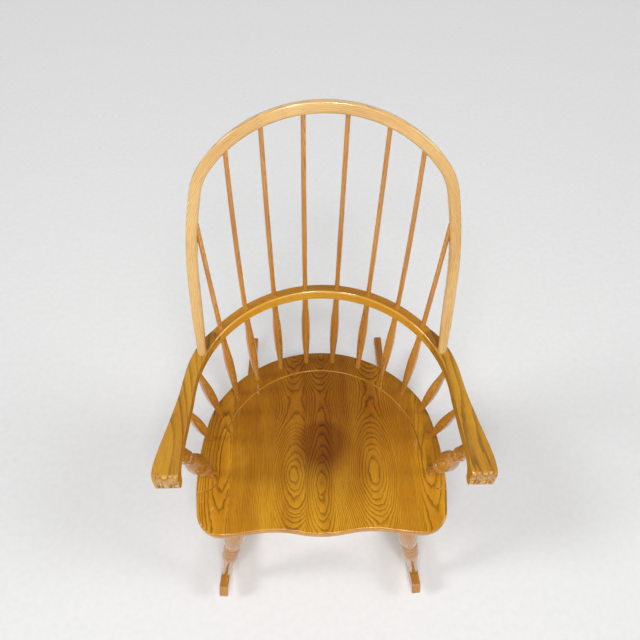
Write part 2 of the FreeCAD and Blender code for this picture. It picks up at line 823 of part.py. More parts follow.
def stretcher_sockets(names, holder_line):
    """Sockets for the stretcher ends that lie near the given point of a leg or stretcher."""
    cutters = []
    radius = size("stretcher_end_radius") + GAP
    for name in names:
        start, end = stretcher_ends(name)
        along = (end - start).normalize()
        near, sense = (start, 1) if (start - holder_line).Length < (end - holder_line).Length else (end, -1)
        reach = size("leg_bulb_radius") + OVERRUN
        cutters.append(peg(near - along * sense * GAP, near + along * sense * reach, radius, radius))
    return cutters


for name, side, top, foot in LEGS:
    length = work_out(name + "_length", (top - foot).Length)
    blank = turned(name + "_blank", leg_stations(length))
    stand(blank, foot, top)
    hand = name.split("_")[0]
    cutters = stretcher_sockets([f"{hand}_side_stretcher"], foot + (top - foot) * STRETCHER_HEIGHT_SHARE)
    named(drilled(blank, name, cutters), name)

for name, start, end, inset in STRETCHERS:
    first, last = stretcher_ends(name)
    length = work_out(name + "_length", (last - first).Length)
    blank = turned(name + "_blank", turned_stations(STRETCHER_SHAPE_SHARES, length, "stretcher_bulb_radius"))
    stand(blank, first, last)
    if name == "cross_stretcher":
        named(blank, name)
    else:
        named(drilled(blank, name, stretcher_sockets(["cross_stretcher"], (start + end) / 2)), name)


def seat_sockets_for_legs():
    cutters = []
    radius = size("leg_top_radius") + GAP
    for name, side, top, foot in LEGS:
        up = (top - foot).normalize()
        bottom = top - up * size("seat_thickness")
        cutters.append(peg(bottom, top + up * (size("leg_top_tenon_length") + GAP), radius, radius))
    return cutters


def rocker_sockets(side):
    """Tapered sockets for the leg feet, widened above the rocker by the same taper."""
    cutters = []
    tenon = size("leg_foot_tenon_length")
    taper = (size("leg_foot_radius") - size("leg_tenon_end_radius")) / tenon
    for name, leg_side, top, foot in LEGS:
        if leg_side == side:
            up = (top - foot).normalize()
            low = foot - up * (tenon + GAP)
            cutters.append(
                peg(low, foot, size("leg_tenon_end_radius") + GAP - taper * GAP, size("leg_foot_radius") + GAP)
            )
            shoulder = foot + (top - foot) * LEG_SHAPE_SHARES[1][0]
            cutters.append(peg(foot, shoulder, size("leg_foot_radius") + GAP, size("leg_ankle_radius") + GAP))
    return cutters


def corner_cutter(corner, across, along, radius, depth):
    """What rounds off one upright corner. It lies towards across (+-X) and along (+-Y) from the piece."""
    centre = corner - Vector(across, along, 0) * radius
    reach = radius + OVERRUN
    low = Vector(min(centre.x, centre.x + across * reach), min(centre.y, centre.y + along * reach), corner.z)
    block = Part.makeBox(reach, reach, depth, low)
    return block.cut(Part.makeCylinder(radius, depth, Vector(centre.x, centre.y, corner.z)))


def rocker_corner_cutters(side):
    """What rounds off the upright corners at a rocker's two ends."""
    cutters = []
    radius = size("rocker_corner_rounding")
    half = size("rocker_width") / 2
    for end, along in ((-size("rocker_front_reach"), -1), (size("rocker_rear_reach"), 1)):
        depth = rocker_bottom_height(end) + size("rocker_mid_height") * 2
        for across in (-1, 1):
            cutter = corner_cutter(Vector(across * half, end, 0), across, along, radius, depth)
            cutters.append(cutter.transformed(rocker_frame(side).toMatrix(), True))
    return cutters


def rocker_blank(name):
    """The rocker's side outline, padded to its width and rounded along its edges."""
    body = doc.addObject("PartDesign::Body", name)
    sketch = body.newObject("Sketcher::SketchObject", name + "_outline")
    sketch.AttachmentSupport = [(origin_plane(body, "YZ_Plane"), "")]
    sketch.MapMode = "FlatFace"
    front = -size("rocker_front_reach")
    rear = size("rocker_rear_reach")
    low = size("rocker_lowest_place")
    bottom = Part.Arc(
        Vector(front, rocker_bottom_height(front), 0),
        Vector(low, 0, 0),
        Vector(rear, rocker_bottom_height(rear), 0),
    )
    top, spots = rocker_top_arc()
    sketch.addGeometry(bottom, False)
    sketch.addGeometry(Part.LineSegment(Vector(rear, rocker_bottom_height(rear), 0), spots[2]), False)
    sketch.addGeometry(top, False)
    sketch.addGeometry(Part.LineSegment(spots[0], Vector(front, rocker_bottom_height(front), 0)), False)
    radius = sketch.addConstraint(Sketcher.Constraint("Radius", 0, size("rocker_radius")))
    bind(sketch, f"Constraints[{radius}]", "sizes.rocker_radius")
    pad = body.newObject("PartDesign::Pad", name + "_pad")
    pad.Profile = sketch
    pad.Midplane = True
    bind(pad, "Length", "sizes.rocker_width")
    body.Tip = pad
    doc.recompute([body])
    round_edges(body, pad, crossing_edges(pad.Shape), "rocker_end_rounding", name + "_end_rounding")
    ends = body.Tip
    round_edges(body, ends, side_edges(ends.Shape), "rocker_edge_rounding", name + "_edge_rounding")
    return body


def crossing_edges(shape):
    """Edges that run straight across, from one side face to the other."""
    found = []
    for number, edge in enumerate(shape.Edges, start=1):
        box = edge.BoundBox
        if box.XLength > size("rocker_width") / 2 and box.YLength + box.ZLength < GAP:
            found.append(f"Edge{number}")
    return found


def side_edges(shape):
    """Edges round the two side faces."""
    found = []
    for number, edge in enumerate(shape.Edges, start=1):
        box = edge.BoundBox
        if box.XLength < GAP and abs(abs(box.XMax) - size("rocker_width") / 2) < GAP:
            found.append(f"Edge{number}")
    return found


def round_edges(body, base, names, alias, name):
    rounding = body.newObject("PartDesign::Fillet", name)
    rounding.Base = (base, names)
    bind(rounding, "Radius", f"sizes.{alias}")
    body.Tip = rounding
    doc.recompute([body])


for side, hand in ((-1, "left"), (1, "right")):
    name = f"{hand}_rocker"
    blank = rocker_blank(name + "_blank")
    blank.Placement = rocker_frame(side)
    named(drilled(blank, name, rocker_sockets(side) + rocker_corner_cutters(side)), name)


# back rail: two bent halves of the bow's section, the lower one longer for the lap under the arms
def rail_sector(body, name, angle, base_height, height):
    """Pad a sector of the bow from one height up to another."""
    sketch = body.newObject("Sketcher::SketchObject", name)
    sketch.AttachmentSupport = [(origin_plane(body, "XY_Plane"), "")]
    sketch.MapMode = "FlatFace"
    sketch.AttachmentOffset = Placement(Vector(0, 0, base_height[0]), Rotation())
    bind(sketch, "AttachmentOffset.Base.z", base_height[1])
    start = math.radians(90 - size(angle))
    end = math.radians(90 + size(angle))
    up = Vector(0, 0, 1)
    radii = []
    for sense in (-1, 1):
        radii.append(size("bow_radius") + sense * size("rail_width") / 2)
    inner = sketch.addGeometry(Part.ArcOfCircle(Part.Circle(Vector(), up, radii[0]), start, end), False)
    outer = sketch.addGeometry(Part.ArcOfCircle(Part.Circle(Vector(), up, radii[1]), start, end), False)
    lines = []
    for turn in (start, end):
        ray = Vector(math.cos(turn), math.sin(turn), 0)
        lines.append(sketch.addGeometry(Part.LineSegment(ray * radii[0], ray * radii[1]), False))
    for arc in (inner, outer):
        sketch.addConstraint(Sketcher.Constraint("Coincident", arc, 3, -1, 1))
    for position, line in ((1, lines[0]), (2, lines[1])):
        sketch.addConstraint(Sketcher.Constraint("Coincident", inner, position, line, 1))
        sketch.addConstraint(Sketcher.Constraint("Coincident", outer, position, line, 2))
        sketch.addConstraint(Sketcher.Constraint("PointOnObject", -1, 1, line))
    sketch.addConstraint(Sketcher.Constraint("Symmetric", outer, 1, outer, 2, -2))
    for arc, sense in ((inner, "-"), (outer, "+")):
        index = sketch.addConstraint(Sketcher.Constraint("Radius", arc, radii[0] if sense == "-" else radii[1]))
        bind(sketch, f"Constraints[{index}]", f"sizes.bow_radius {sense} sizes.rail_width / 2")
    slope = sketch.addConstraint(Sketcher.Constraint("Angle", -1, 1, lines[0], 1, start))
    bind(sketch, f"Constraints[{slope}]", f"(90 - sizes.{angle}) * 1 deg")
    pad = body.newObject("PartDesign::Pad", name + "_pad")
    pad.Profile = sketch
    bind(pad, "Length", height)
    body.Tip = pad
    return pad


def long_edges(shape, height, least):
    """Names of a shape's long edges at one height."""
    found = []
    for index, edge in enumerate(shape.Edges, start=1):
        level = all(abs(v.Point.z - height) < GAP for v in edge.Vertexes)
        if level and edge.Length > least:
            found.append(f"Edge{index}")
    return found


def back_rail():
    body = doc.addObject("PartDesign::Body", "back_rail_blank")
    half = minus(share_of(cell("bow_thickness"), 0.5))
    rail_sector(body, "rail_lower_half", "rail_lap_end_angle", minus(cell("bow_thickness")),
                "sizes.bow_thickness / 2")
    upper = rail_sector(body, "rail_upper_half", "rail_lap_start_angle", half, "sizes.bow_thickness / 2")
    doc.recompute()
    rounding = body.newObject("PartDesign::Fillet", "rail_rounding")
    names = long_edges(upper.Shape, 0, size("rail_width") * 2)
    rounding.Base = (upper, names)
    bind(rounding, "Radius", "sizes.bow_edge_rounding")
    body.Tip = rounding
    body.Placement = BOW_FRAME
    return drilled(body, "back_rail", rail_holes_for_spindles())


named(back_rail(), "back_rail")


# arms: sawn outline, scrolled hand with three carved fingers
def arm_outline():
    """The right arm seen from above, in the bow's frame."""
    start, tip = arm_inner_ends()
    lap_angle = math.radians(size("rail_lap_start_angle"))
    outer_radius = size("bow_radius") + size("rail_width") / 2
    outer = [Vector(outer_radius * math.sin(lap_angle), outer_radius * math.cos(lap_angle), 0)]
    for place, share in zip(ARM_PLACE_SHARES[1:], ARM_WIDTH_SHARES[1:]):
        level = start.y + place * (tip.y - start.y)
        inner = arm_inner_point(level)
        outer.append(Vector(inner.x + share * size("hand_width"), level, 0))
    curve = Part.BSplineCurve()
    curve.interpolate(outer)
    back = Part.LineSegment(outer[0], start).toShape()
    front = Part.LineSegment(tip, outer[-1]).toShape()
    return Part.Wire(arm_inner_edge().OrderedEdges + [front, curve.toShape(), back])


def arm_side_profile():
    """The arm seen from the side: flat top, two rolls at the hand and a hollow behind the lower one."""
    radius = size("scroll_radius")
    lower_radius = size("lower_scroll_radius")
    thickness = size("bow_thickness")
    bottom = thickness + size("scroll_drop")
    back = size("bow_radius")
    upper = Vector(0, radius - size("arm_reach"), -radius)
    diagonal = radius * math.sqrt(0.5)
    turn = math.radians(CREASE_TURN_ANGLE)
    crease = upper - Vector(0, math.cos(turn), math.sin(turn)) * radius
    drop = crease.z + bottom - lower_radius
    lower = Vector(0, crease.y + math.sqrt(lower_radius**2 - drop**2), lower_radius - bottom)
    chin = lower - Vector(0, 0, lower_radius)
    under_end = upper.y + radius * SCROLL_BACK_SHARE
    scroll_back = Vector(0, under_end, -(thickness + bottom) / 2)
    hollow = Vector(0, under_end + size("hand_hollow_length"), -thickness)
    front_top = Vector(0, upper.y, 0)
    back_top = Vector(0, back, 0)
    back_bottom = Vector(0, back, -thickness)
    knuckle = Part.Arc(front_top, upper + Vector(0, -diagonal, diagonal), crease)
    halfway = (crease + chin) / 2 - lower
    roll = Part.Arc(crease, lower + halfway.normalize() * lower_radius, chin)
    throat = Part.BSplineCurve()
    throat.interpolate(
        [chin, scroll_back, hollow],
        InitialTangent=Vector(0, 1, 0),
        FinalTangent=Vector(0, 1, 0),
    )
    edges = [
        Part.LineSegment(back_top, front_top).toShape(),
        knuckle.toShape(),
        roll.toShape(),
        throat.toShape(),
        Part.LineSegment(hollow, back_bottom).toShape(),
        Part.LineSegment(back_bottom, back_top).toShape(),
    ]
    return Part.Wire(edges)


def flute_cutter(across, shift):
    """A round-nosed cut that starts shallow on top of the hand and runs over the scroll."""
    radius = size("scroll_radius")
    bite = size("flute_radius") - size("flute_depth")
    centre = Vector(across, radius - size("arm_reach"), -radius)
    start = Vector(across + shift, centre.y + size("flute_length"), size("flute_radius"))
    rim = radius + bite
    over = centre + Vector(0, 0, rim)
    nose = centre + Vector(0, -rim, 0)
    diagonal = math.sqrt(0.5) * rim
    bow = Part.Arc(over, centre + Vector(0, -diagonal, diagonal), nose)
    tail = nose - Vector(0, 0, size("bow_thickness"))
    first = Part.LineSegment(start, over).toShape()
    last = Part.LineSegment(nose, tail).toShape()
    cutters = []
    for edge in (first, bow.toShape(), last):
        begin = edge.valueAt(edge.FirstParameter)
        tangent = edge.tangentAt(edge.FirstParameter)
        ring = Part.Wire(Part.makeCircle(size("flute_radius"), begin, tangent))
        cutters.append(Part.Wire([edge]).makePipeShell([ring], True, True))
    cutters.append(Part.makeSphere(size("flute_radius"), over))
    return cutters


def lap_notch():
    """What the arm gives up to the rail's lower half at the lap."""
    start = size("rail_lap_start_angle") - size("bow_hole_step_angle") / 4
    sweep = size("rail_lap_end_angle") - start
    outer = size("bow_radius") * 2
    ring = Part.makeCylinder(outer, size("bow_thickness") / 2 + OVERRUN, Vector(0, 0, 0), Vector(0, 0, 1), sweep)
    ring.rotate(Vector(0, 0, 0), Vector(0, 0, 1), 90 - size("rail_lap_end_angle"))
    ring.translate(Vector(0, 0, -size("bow_thickness") - OVERRUN))
    return ring


def arm(side, hand):
    plan = Part.Face(arm_outline())
    depth = size("bow_thickness") + size("scroll_drop") + OVERRUN
    plan.translate(Vector(0, 0, -depth))
    prism = plan.extrude(Vector(0, 0, depth + OVERRUN))
    profile = Part.Face(arm_side_profile()).extrude(Vector(size("seat_width"), 0, 0))
    shape = prism.common(profile)
    top_edges = []
    for edge in shape.Edges:
        box = edge.BoundBox
        middle = edge.valueAt((edge.FirstParameter + edge.LastParameter) / 2)
        if box.ZLength < GAP and abs(middle.z) < GAP and edge.Length > size("scroll_radius") * 4:
            top_edges.append(edge)
    shape = shape.makeFillet(size("arm_edge_rounding"), top_edges)
    inner_tip = arm_inner_ends()[1] - Vector(0, OVERRUN, depth)
    outer_tip = inner_tip + Vector(size("hand_width") * ARM_WIDTH_SHARES[-1], 0, 0)
    for corner, sense in ((inner_tip, -1), (outer_tip, 1)):
        shape = shape.cut(corner_cutter(corner, sense, -1, size("hand_corner_rounding"), depth + OVERRUN))
    middle = arm_inner_ends()[1].x + size("hand_width") / 2
    half = size("flute_spread") / 2
    for sense in (-1, 1):
        for cutter in flute_cutter(middle + sense * half, -sense * half * FLUTE_LEAN_SHARE - half):
            shape = shape.cut(cutter)
    shape = shape.cut(lap_notch())
    if side < 0:
        shape = mirrored(shape)
    foot = HOOP_FRAME.multVec(Vector(side * size("hoop_half_width"), 0, 0))
    down = HOOP_FRAME.Rotation.multVec(Vector(0, -1, 0))
    tenon_end = foot + down * (size("hoop_tenon_length") + GAP)
    cutters = arm_sockets(side)
    cutters.append(peg(tenon_end, foot, size("hoop_tenon_radius") + GAP, size("hoop_end_radius") + GAP))
    cutters.append(
        peg(foot, foot - down * size("hoop_tenon_length"), size("hoop_end_radius") + GAP,
            size("hoop_end_radius") + GAP)
    )
    for cutter in cutters:
        shape = shape.cut(in_frame(cutter, BOW_FRAME))
    return solid_feature(f"{hand}_arm", shape.removeSplitter(), BOW_FRAME)


for side, hand in ((-1, "left"), (1, "right")):
    named(arm(side, hand), f"{hand}_arm")


# hoop: a bent strip with round ends
def hoop_section(across, along_normal, rounding, place, turn):
    """A rounded rectangle across the hoop's middle line, facing along +Y before it is turned."""
    half = across / 2
    deep = along_normal / 2
    straight_x = half - rounding
    straight_z = deep - rounding
    corners = [(1, 1), (-1, 1), (-1, -1), (1, -1)]
    edges = []
    spots = []
    diagonal = rounding * math.sqrt(0.5)
    for x_sign, z_sign in corners:
        near = Vector(x_sign * half, 0, z_sign * straight_z)
        far = Vector(x_sign * straight_x, 0, z_sign * deep)
        bulge = Vector(x_sign * (straight_x + diagonal), 0, z_sign * (straight_z + diagonal))
        pair = (near, bulge, far) if x_sign == z_sign else (far, bulge, near)
        spots.append(pair)
    for number, (begin, bulge, finish) in enumerate(spots):
        edges.append(Part.Arc(begin, bulge, finish).toShape())
        following = spots[(number + 1) % len(spots)][0]
        edges.append(Part.LineSegment(finish, following).toShape())
    wire = Part.Wire(edges)
    wire.rotate(Vector(0, 0, 0), Vector(0, 0, 1), turn)
    wire.translate(place)
    return wire


def hoop():
    width = size("hoop_face_width")
    thickness = size("hoop_thickness")
    rounding = size("hoop_rounding")
    straight_bottom = size("hoop_round_end_length")
    leg_top = hoop_bends_end
    leg_foot = Vector(leg_top.x, straight_bottom, 0)
    straight = Part.LineSegment(leg_top, leg_foot).toShape()
    right = Part.Wire(hoop_bends + [straight])
    section = hoop_section(width, thickness, rounding, HOOP_TOP, 90)
    half = right.makePipeShell([section], True, True)
    end_radius = size("hoop_end_radius")
    strip = hoop_section(width, thickness, rounding, leg_foot, 0)
    flat = rounding * HOOP_END_FLAT_SHARE
    ring_width = end_radius * 2
    ring = hoop_section(ring_width, ring_width, end_radius - flat, Vector(leg_top.x, 0, 0), 0)
    middle_width = (width + ring_width) / 2
    middle_thickness = (thickness + ring_width) / 2
    between = hoop_section(
        middle_width, middle_thickness, (rounding + end_radius) / 2, Vector(leg_top.x, straight_bottom / 2, 0), 0
    )
    taper = Part.makeLoft([strip, between, ring], True, True)
    foot = Vector(leg_top.x, 0, 0)
    tenon_end = foot - Vector(0, size("hoop_tenon_length"), 0)
    tenon = peg(tenon_end, foot, size("hoop_tenon_radius"), end_radius)
    side = half.fuse([taper, tenon])
    shape = side.fuse(mirrored(side)).removeSplitter()
    for cutter in hoop_sockets_for_spindles():
        shape = shape.cut(in_frame(cutter, HOOP_FRAME))
    return solid_feature("hoop", shape, HOOP_FRAME)


named(hoop(), "hoop")


# seat: outline, saddle, groove line and sockets
def seat_outline():
    """Half of the seat's edge from the back's middle, to the right and round to the front's middle."""
    back_turn = math.radians(SEAT_BACK_TURN_ANGLE)
    shoulder_end = math.radians(SEAT_BACK_TURN_ANGLE + SEAT_SHOULDER_TURN_ANGLE)
    lean = math.radians(SEAT_SIDE_TURN_ANGLE)
    corner = size("seat_corner_radius")
    corner_drop = corner * (1 - math.sin(lean))
    run = size("seat_side_run")
    # what is left for the shoulder and the side: across to the widest place, and down to the side's run
    across = half_seat - seat_back_radius * math.sin(back_turn)
    down = size("seat_depth") - seat_back_radius * (1 - math.cos(back_turn)) - corner_drop - run * math.cos(lean)
    shoulder_across = math.sin(shoulder_end) - math.sin(back_turn)
    shoulder_down = math.cos(back_turn) - math.cos(shoulder_end)
    side_across = 1 - math.sin(shoulder_end)
    side_down = math.cos(shoulder_end) + math.sin(lean)
    spread = shoulder_across * side_down - shoulder_down * side_across
    shoulder_radius = (across * side_down - down * side_across) / spread
    side_radius = (down * shoulder_across - across * shoulder_down) / spread
    to_widest = 90 - SEAT_BACK_TURN_ANGLE - SEAT_SHOULDER_TURN_ANGLE
    edges, place = walk(
        Vector(0, size("seat_depth"), 0),
        0,
        [
            (seat_back_radius, -SEAT_BACK_TURN_ANGLE),
            (shoulder_radius, -SEAT_SHOULDER_TURN_ANGLE),
            (side_radius, -to_widest - SEAT_SIDE_TURN_ANGLE),
        ],
    )
    rest, lobe = walk(place, -90 - SEAT_SIDE_TURN_ANGLE, [(run,), (corner, SEAT_SIDE_TURN_ANGLE - 90)])
    wave_place = lobe.x * SEAT_WAVE_PLACE_SHARE
    wave = size("seat_front_wave")
    waves = s_curve(lobe, Vector(wave_place, wave, 0)) + s_curve(Vector(wave_place, wave, 0), Vector(0, 0, 0))
    return edges + rest + waves


def s_curve(start, end):
    """Two equal arcs that leave one point along X and reach the other along X."""
    middle = (start + end) / 2
    reach = end - start
    radius = (reach.x**2 + reach.y**2) / abs(reach.y) / 4
    edges = []
    for fixed, sense in ((start, 1), (end, -1)):
        centre = Vector(fixed.x, fixed.y + sense * math.copysign(radius, reach.y), 0)
        chord = (fixed + middle) / 2 - centre
        bulge = centre + chord.normalize() * radius
        first, last = (fixed, middle) if sense > 0 else (middle, fixed)
        edges.append(Part.Arc(first, bulge, last).toShape())
    return edges


def both_sides(edges):
    """A closed outline from its right half."""
    wire = Part.Wire(Part.__sortEdges__(edges + [mirrored(edge) for edge in edges]))
    return wire


def saddle_depth_at(across, setback):
    """How deep the sitting hollow is: one bowl behind, two with a pommel between them in front."""
    over = across / (size("saddle_width") / 2)
    middle = size("saddle_front_gap") + size("saddle_length") / 2
    along = (setback - middle) / (size("saddle_length") / 2)
    if abs(over) >= 1 or abs(along) >= 1:
        return 0
    bowl = (1 - over**2) ** 2 * (1 - along**2) ** 2
    forward = max(0, -along)
    ridge = math.exp(-((over / SADDLE_RIDGE_WIDTH_SHARE) ** 2)) * min(1, forward * SADDLE_RIDGE_RISE_SHARE)
    return size("saddle_depth") * SADDLE_FULLNESS_SHARE * bowl * (1 - SADDLE_RIDGE_HEIGHT_SHARE * ridge)


def saddle_cutter():
    """A block whose lower face has the saddle's form and else clears the seat's top."""
    lift = GAP * 2
    steps = SADDLE_GRID_STEPS
    half = size("saddle_width") / 2
    rows = []
    for column in range(steps + 1):
        across = -half + 2 * half * column / steps
        line = []
        for row in range(steps + 1):
            setback = size("saddle_front_gap") + size("saddle_length") * row / steps
            line.append(Vector(across, setback, lift - saddle_depth_at(across, setback)))
        rows.append(line)
    surface = Part.BSplineSurface()
    surface.interpolate(rows)
    return surface.toShape().extrude(Vector(0, 0, size("saddle_depth") * 2))


def groove_cutter():
    """The thin line between the sitting part and the spindles' deck."""
    radius = seat_back_radius - size("groove_inset")
    turn_radius = size("groove_turn_radius")
    run_out = half_seat
    edges, end = walk(
        Vector(0, seat_arc_centre + radius, 0),
        0,
        [
            (radius, -90),
            (size("groove_side_length"),),
            (turn_radius, 90),
            (run_out - radius - turn_radius + OVERRUN,),
        ],
    )
    wire = Part.Wire(Part.__sortEdges__([mirrored(edge) for edge in edges] + edges))
    start = wire.OrderedVertexes[0].Point
    ring = Part.Wire(Part.makeCircle(size("groove_radius"), start, Vector(1, 0, 0)))
    return wire.makePipeShell([ring], True, True)


def seat():
    outline = both_sides(seat_outline())
    blank = Part.Face(outline).extrude(Vector(0, 0, -size("seat_thickness")))
    rim = {"top": [], "under": []}
    for edge in blank.Edges:
        box = edge.BoundBox
        if box.ZLength < GAP:
            rim["top" if box.ZMax > -GAP else "under"].append(edge)
    shape = blank.makeChamfer(size("seat_under_bevel_height"), size("seat_under_bevel"), rim["under"])
    rim_top = [edge for edge in shape.Edges if edge.BoundBox.ZMin > -GAP]
    shape = shape.makeFillet(size("seat_top_rounding"), rim_top)
    shape = shape.cut(saddle_cutter())
    shape = shape.cut(groove_cutter())
    cutters = seat_sockets_for_spindles() + seat_sockets_for_arm_pegs() + seat_sockets_for_legs()
    for cutter in cutters:
        shape = shape.cut(in_frame(cutter, SEAT_FRAME))
    return solid_feature("seat", shape, SEAT_FRAME)


named(seat(), "seat")

doc.recompute()

for item in doc.Objects:
    if "Invalid" in item.State or "Error" in item.State:
        raise RuntimeError(f"{item.Name} failed: {item.State}")
os.makedirs("parts", exist_ok=True)
for piece in SUB_PARTS:
    shape = piece.Shape
    if shape.isNull() or not shape.isValid():
        raise RuntimeError(f"{piece.Label} has no valid shape")
    if len(shape.Solids) != 1:
        raise RuntimeError(f"{piece.Label} has {len(shape.Solids)} solids")
for piece in SUB_PARTS:
    piece.Shape.exportStep(f"parts/{piece.Label}.step")
    print(f"{piece.Label}: {piece.Shape.Volume:.0f} mm3")
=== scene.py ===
import math
import bpy
import numpy as np
from mathutils import Matrix, Vector

# A hoop back rocking chair in golden oak. Every piece of the chair is a solid of the frame; this script
# gives each its own oak, cut and turned from its own plank, and lights it softly on a pale floor.
# Lengths are in metres, as in the frame; inside the oak's shaders they are in millimetres.

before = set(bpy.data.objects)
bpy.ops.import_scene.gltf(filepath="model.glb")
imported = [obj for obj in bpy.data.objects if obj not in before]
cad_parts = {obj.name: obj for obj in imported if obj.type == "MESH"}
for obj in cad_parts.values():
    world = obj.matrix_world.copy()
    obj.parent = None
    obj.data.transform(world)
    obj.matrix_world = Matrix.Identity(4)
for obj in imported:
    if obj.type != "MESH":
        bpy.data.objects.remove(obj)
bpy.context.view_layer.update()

MM = 1000.0

# where the photographer stood
CAMERA_PLACE = (-0.0364, -0.6821, 1.7924)
CAMERA_YAW = math.radians(2.539)
CAMERA_PITCH = math.radians(56.497)
CAMERA_ROLL = math.radians(1.767)
FILM_WIDTH = 36.0
FOCAL_LENGTH = 36.0

# the seat's plane, the bow's plane and the hoop's plane
SEAT_FRONT = Vector((0, -0.3185, 0.4288))
SEAT_TILT = math.radians(2.24)
BOW_RADIUS = 0.262
BOW_BACK = Vector((0, 0.1385, 0.678))
BOW_TILT = math.radians(1.65)
HOOP_FOOT_SPREAD = 0.2422
HOOP_LEAN = math.radians(23.2)
HOOP_BEND_HEIGHT = 0.2295
HOOP_BEND_RADIUS = 0.255
HOOP_FOOT_BACK = -0.017

# how far the grain of the left arm's plank lies off the arm's length
LEFT_ARM_SLOPE = math.radians(-15)


def srgb(red, green, blue):
    """A colour written as 0-255 screen values, as the linear colour that shaders take."""
    linear = []
    for value in (red, green, blue):
        share = value / 255
        linear.append(share / 12.92 if share <= 0.04045 else ((share + 0.055) / 1.055) ** 2.4)
    return (*linear, 1.0)


# shader trees
def add(tree, kind, **settings):
    """A node with its settings made."""
    node = tree.nodes.new("ShaderNode" + kind)
    for name, value in settings.items():
        setattr(node, name, value)
    return node


def feed(tree, socket, value):
    """Join an output to a socket, or set the socket's own number."""
    if isinstance(value, bpy.types.NodeSocket):
        tree.links.new(value, socket)
    else:
        socket.default_value = value


def calc(tree, operation, first, second=0.0, third=0.0):
    node = add(tree, "Math", operation=operation)
    for socket, value in zip(node.inputs, (first, second, third)):
        feed(tree, socket, value)
    return node.outputs[0]


def vector_calc(tree, operation, first, second):
    node = add(tree, "VectorMath", operation=operation)
    feed(tree, node.inputs[0], first)
    feed(tree, node.inputs[1], second)
    return node.outputs["Value" if operation in ("DOT_PRODUCT", "DISTANCE") else "Vector"]


def split(tree, vector):
    node = add(tree, "SeparateXYZ")
    feed(tree, node.inputs[0], vector)
    return node.outputs


def join(tree, x, y, z):
    node = add(tree, "CombineXYZ")
    for socket, value in zip(node.inputs, (x, y, z)):
        feed(tree, socket, value)
    return node.outputs[0]


def noise(tree, vector, detail=2.0, roughness=0.5):
    """Noise about 1 unit across, from 0 to 1."""
    node = add(tree, "TexNoise")
    feed(tree, node.inputs["Vector"], vector)
    node.inputs["Scale"].default_value = 1.0
    node.inputs["Detail"].default_value = detail
    node.inputs["Roughness"].default_value = roughness
    return node.outputs["Fac"]


def blend(tree, share, first, second):
    """A colour between two others."""
    node = add(tree, "Mix", data_type="RGBA")
    feed(tree, node.inputs[0], share)
    feed(tree, node.inputs[6], first)
    feed(tree, node.inputs[7], second)
    return node.outputs[2]


def rise(tree, value, low, high, bottom=0.0, top=1.0):
    """A smooth step from bottom to top while a value goes from low to high."""
    node = add(tree, "MapRange", interpolation_type="SMOOTHSTEP")
    for socket, number in zip(node.inputs, (value, low, high, bottom, top)):
        feed(tree, socket, number)
    return node.outputs[0]


def ramp(tree, value, stops, interpolation="LINEAR"):
    node = add(tree, "ValToRGB")
    node.color_ramp.interpolation = interpolation
    elements = node.color_ramp.elements
    while len(elements) < len(stops):
        elements.new(0.5)
    for element, (place, colour) in zip(elements, stops):
        element.position = place
        element.color = colour
    feed(tree, node.inputs[0], value)
    return node.outputs["Color"]


def grey(value):
    return (value, value, value, 1.0)


def new_group(name, inputs, outputs):
    """An empty node group with named sockets; each is (name, kind, value)."""
    group = bpy.data.node_groups.new(name, "ShaderNodeTree")
    for socket, kind, value in inputs:
        item = group.interface.new_socket(socket, in_out="INPUT", socket_type="NodeSocket" + kind)
        if value is not None:
            item.default_value = value
    for socket, kind in outputs:
        group.interface.new_socket(socket, in_out="OUTPUT", socket_type="NodeSocket" + kind)
    return group, group.nodes.new("NodeGroupInput").outputs, group.nodes.new("NodeGroupOutput").inputs


def place_group(tree, group, **values):
    """A group placed in a tree; an input named ring_width is written "Ring Width" on the group."""
    node = tree.nodes.new("ShaderNodeGroup")
    node.node_tree = group
    for name, value in values.items():
        feed(tree, node.inputs[name.replace("_", " ").title()], value)
    return node.outputs


